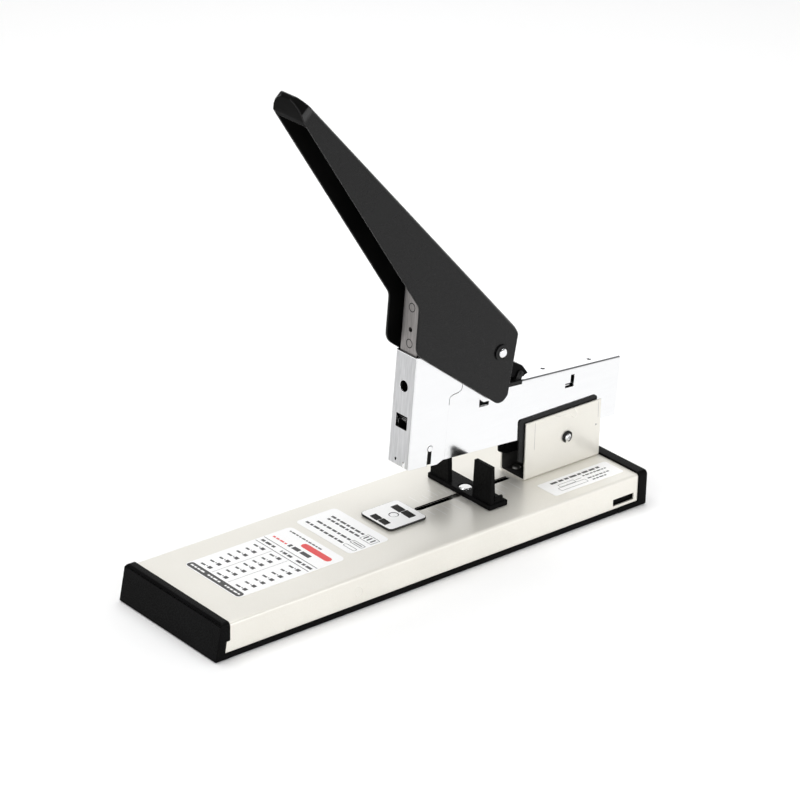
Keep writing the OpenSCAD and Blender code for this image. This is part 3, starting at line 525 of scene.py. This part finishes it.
class Print:
    """Thin plates of one ink on one flat face."""

    def __init__(self, name, material, surface_z, slot_name="label_film"):
        self.bm = bmesh.new()
        self.name, self.material, self.z, self.slot = name, material, surface_z / MM, slot_name

    def loop(self, points, z):
        return [self.bm.verts.new(place(x, y, z)) for x, y in points]

    def plate(self, points):
        """A flat plate with the given outline, counter-clockwise."""
        low, top = self.loop(points, self.z - INK_SINK), self.loop(points, self.z + INK_RISE)
        self.bm.faces.new(top)
        self.bm.faces.new(low[::-1])
        for i in range(len(points)):
            j = (i + 1) % len(points)
            self.bm.faces.new((low[i], low[j], top[j], top[i]))

    def bar(self, x0, x1, y0, y1, r=0.12):
        self.plate(corners(x0, x1, y0, y1, min(r, (x1 - x0) / 2.1, (y1 - y0) / 2.1), 2))

    def frame(self, x0, x1, y0, y1, r, w):
        """A rounded outline of width w."""
        outer = corners(x0, x1, y0, y1, r)
        inner = corners(x0 + w, x1 - w, y0 + w, y1 - w, max(r - w, 0.05))
        levels = (self.z - INK_SINK, self.z + INK_RISE)
        out_low, out_top, in_low, in_top = [self.loop(p, z) for p in (outer, inner) for z in levels]
        for i in range(len(outer)):
            j = (i + 1) % len(outer)
            for a, b in ((out_low, out_top), (out_top, in_top), (in_top, in_low), (in_low, out_low)):
                self.bm.faces.new((a[i], a[j], b[j], b[i]))

    def words(self, x, y0, y1, tall, seed, across=True):
        """A row of plain bars of word length, in place of text. It runs along Y, or along X."""
        at, i = y0, seed
        while at < y1 - 0.8:
            word = min(tall * (1.3 + 1.5 * (0.5 + 0.5 * math.sin(2.4 * i))), y1 - at)
            if across:
                self.bar(x - tall / 2, x + tall / 2, at, at + word)
            else:
                self.bar(at, at + word, x - tall / 2, x + tall / 2)
            at += word + 0.45 * tall + 0.15
            i += 1

    def done(self):
        mesh = bpy.data.meshes.new(self.name)
        bmesh.ops.recalc_face_normals(self.bm, faces=self.bm.faces)
        self.bm.to_mesh(mesh)
        self.bm.free()
        piece(self.name, mesh, "base", [self.material])


def size_chart():
    """The large label: a table of sheet counts, with plain bars for its words and numbers."""
    black = Print("size_chart_black", INK_BLACK, LABEL_TOP)
    soft = Print("size_chart_grey", INK_GREY, LABEL_TOP)
    red = Print("size_chart_red", INK_RED, LABEL_TOP)
    black.plate(corners(28.1, 32.6, -20.6, 22.7, 1.6))
    light = Print("size_chart_light", INK_LIGHT, LABEL_TOP + INK_RISE * MM)
    light.words(30.4, -19, -7, 1.1, 2)
    light.words(30.4, -3, 7, 1.1, 5)
    light.words(30.4, 10, 21, 1.1, 3)
    for y in (-5.2, 8.0):
        soft.bar(33.4, 70.8, y - 0.15, y + 0.15)
    for x in (71.8, 77.3):
        black.bar(x - 0.2, x + 0.2, -20.6, 22.7)
    black.words(74.5, -19.6, -7.5, 1.7, 1)
    black.words(74.5, -3.6, 5.2, 1.7, 4)
    black.words(74.5, 10.2, 21, 1.7, 7)
    for row in range(7):
        x = 35.7 + 5.48 * row
        for y in (-17.6, -2.0, 11.2):
            black.bar(x - 1.1, x + 1.1, y, y + 2.6)
            black.bar(x - 0.4, x + 0.4, y + 3.3, y + 4.0)
            black.bar(x - 1.0, x + 0.2, y + 4.7, y + 8.0 - 0.3 * (row % 3))
    black.words(81.8, -9, 8, 2.7, 3)
    red.words(81.4, 9.4, 21.4, 1.2, 2)
    red.bar(85.4, 89.6, -18.4, 4.4, 2.0)
    black.words(91.6, -6, 20, 1.0, 6)
    for mark in (black, soft, red, light):
        mark.done()


def loading_note():
    """The label near the anvil: three plain pictograms and lines of bars."""
    black = Print("loading_note_black", INK_BLACK, LABEL_TOP)
    black.frame(103.3, 105.9, -17.2, -8, 1.2, 0.3)
    black.frame(108.1, 111.3, -17.2, -7.6, 0.9, 0.35)
    black.bar(109.4, 110.0, -15.8, -9)
    black.frame(114.6, 120.8, -16.9, -7.4, 0.6, 0.3)
    for y in (-15.2, -12.4, -9.8):
        black.bar(116, 119.6, y, y + 1.1)
    black.words(104.7, -6.6, 23.2, 1.5, 1)
    black.words(109.6, -6.6, 21.6, 1.5, 5)
    black.words(115.6, -6.2, 19.2, 1.5, 8)
    black.words(118.8, -6, 20.2, 1.5, 2)
    black.done()


def side_note():
    """The small label beside the bracket: a line drawing and bars."""
    black = Print("side_note_black", INK_BLACK, LABEL_TOP)
    black.words(-20.4, 233, 267.5, 1.7, 3, across=False)
    black.frame(232.6, 251.6, -29.8, -26.4, 0.8, 0.25)
    black.frame(235, 246, -26.2, -23.4, 0.5, 0.25)
    black.bar(247, 251, -24.6, -24.3)
    black.words(-23.3, 253, 269.5, 1.0, 2, across=False)
    black.words(-26.9, 253.4, 268.4, 1.0, 6, across=False)
    black.words(-29.5, 254.6, 265, 1.0, 4, across=False)
    black.done()


def depth_scales():
    """Ticks beside the guide's slot, 5 mm apart on one side and an eighth of an inch on the other."""
    light = Print("depth_scale", INK_LIGHT, BASE_TOP, "cream_paint")
    eighth = 3.175
    for i in range(12):
        x = 162 + 5 * i
        light.bar(x - 0.14, x + 0.14, -14.5 if i % 2 else -10.5, -4.6)
    for i in range(17):
        x = 164.6 + eighth * i
        light.bar(x - 0.12, x + 0.12, 5.0, (13.5, 8.5, 10.5, 8.5)[i % 4])
    light.done()


def bracket_scores():
    """Press marks on the outer faces of the bracket: two scored lines and a small notch."""
    bm = bmesh.new()
    half = 9.6
    outlines = [[(230.2, 35.5), (230.4, 35.5), (230.4, 51.2), (230.2, 51.2)],
                [(275.1, 41.9), (275.3, 41.9), (275.3, 51.2), (275.1, 51.2)],
                [(273.4, 37.4), (275.0, 37.9), (273.4, 38.6)]]
    for side in (-1, 1):
        for outline in outlines:
            near = [bm.verts.new(place(x, side * (half + 0.015), z)) for x, z in outline]
            far = [bm.verts.new(place(x, side * (half - 0.1), z)) for x, z in outline]
            bm.faces.new(near)
            bm.faces.new(far[::-1])
            for i in range(len(outline)):
                j = (i + 1) % len(outline)
                bm.faces.new((near[i], far[i], far[j], near[j]))
    bmesh.ops.recalc_face_normals(bm, faces=bm.faces)
    mesh = bpy.data.meshes.new("bracket_scores")
    bm.to_mesh(mesh)
    bm.free()
    piece("bracket_scores", mesh, "base", [INK_GREY])


size_chart()
loading_note()
side_note()
depth_scales()
bracket_scores()


# ---------------- stage, light, camera ----------------
def floor():
    mesh = bpy.data.meshes.new("floor")
    size = 6.0
    plan = [(-size, -size, 0), (size, -size, 0), (size, size, 0), (-size, size, 0)]
    mesh.from_pydata(plan, [], [(0, 1, 2, 3)])
    made = bpy.data.objects.new("floor", mesh)
    bpy.context.scene.collection.objects.link(made)
    n = Nodes("floor_white")
    mesh.materials.append(n.surface(grey(0.97), 0.8))


def area_light(name, position, target, size, watts, colour=(1, 1, 1)):
    data = bpy.data.lights.new(name, "AREA")
    data.shape = "RECTANGLE"
    data.size, data.size_y = size
    data.energy = watts
    data.color = colour
    light = bpy.data.objects.new(name, data)
    light.location = position
    light.rotation_euler = (Vector(target) - Vector(position)).to_track_quat("-Z", "Y").to_euler()
    bpy.context.scene.collection.objects.link(light)


def studio():
    """A soft studio: bright near the horizon, dim overhead, with large soft lights."""
    world = bpy.data.worlds.new("studio")
    bpy.context.scene.world = world
    world.use_nodes = True
    nodes, links = world.node_tree.nodes, world.node_tree.links
    where = nodes.new("ShaderNodeTexCoord").outputs["Generated"]
    parts = nodes.new("ShaderNodeSeparateXYZ")
    links.new(where, parts.inputs[0])
    ramp = nodes.new("ShaderNodeMapRange")
    dimming = {"From Min": 0.38, "From Max": 0.6, "To Min": 1.08, "To Max": 0.14}
    for key, number in dimming.items():
        ramp.inputs[key].default_value = number
    links.new(parts.outputs["Z"], ramp.inputs["Value"])
    background = nodes["Background"]
    background.inputs["Color"].default_value = (1, 1, 1, 1)
    links.new(ramp.outputs["Result"], background.inputs["Strength"])
    centre = (0, 0, 0.08)
    area_light("overhead", (0.1, 0.3, 1.6), centre, (1.6, 1.2), 23)
    area_light("near_side", (0.2, -1.8, 0.55), centre, (1.8, 0.7), 12)
    area_light("back", (1.1, 1.4, 0.85), centre, (1.8, 0.8), 1.4)
    area_light("front", (-1.8, -0.3, 0.8), centre, (0.9, 0.9), 1.5)
    bpy.context.scene.view_settings.view_transform = "Standard"


def camera():
    """The photograph's view: azimuth, elevation, distance, roll and lens."""
    azimuth, elevation, roll = (math.radians(a) for a in (-40.0, 24.9, 1.28))
    distance = 1.704
    target = place(167.3, 25.6, 68.9)
    back = Vector((math.sin(azimuth) * math.cos(elevation), -math.cos(azimuth) * math.cos(elevation),
                   math.sin(elevation)))
    right = (-back).cross(Vector((0, 0, 1))).normalized()
    up = right.cross(-back)
    turned_right = right * math.cos(roll) + up * math.sin(roll)
    turned_up = up * math.cos(roll) - right * math.sin(roll)
    data = bpy.data.cameras.new("camera")
    data.lens = 148.7
    data.sensor_width = 36.0
    data.clip_start = 0.05
    cam = bpy.data.objects.new("camera", data)
    cam.matrix_world = Matrix.Translation(target + back * distance) @ Matrix(
        (turned_right, turned_up, back)).transposed().to_4x4()
    bpy.context.scene.collection.objects.link(cam)
    bpy.context.scene.camera = cam


floor()
studio()
camera()

for name, node in frame["nodes"].items():
    if not node.hide_render:
        node.data.materials.clear()
        node.data.materials.append(MATERIALS[SLOT_OF[name]])
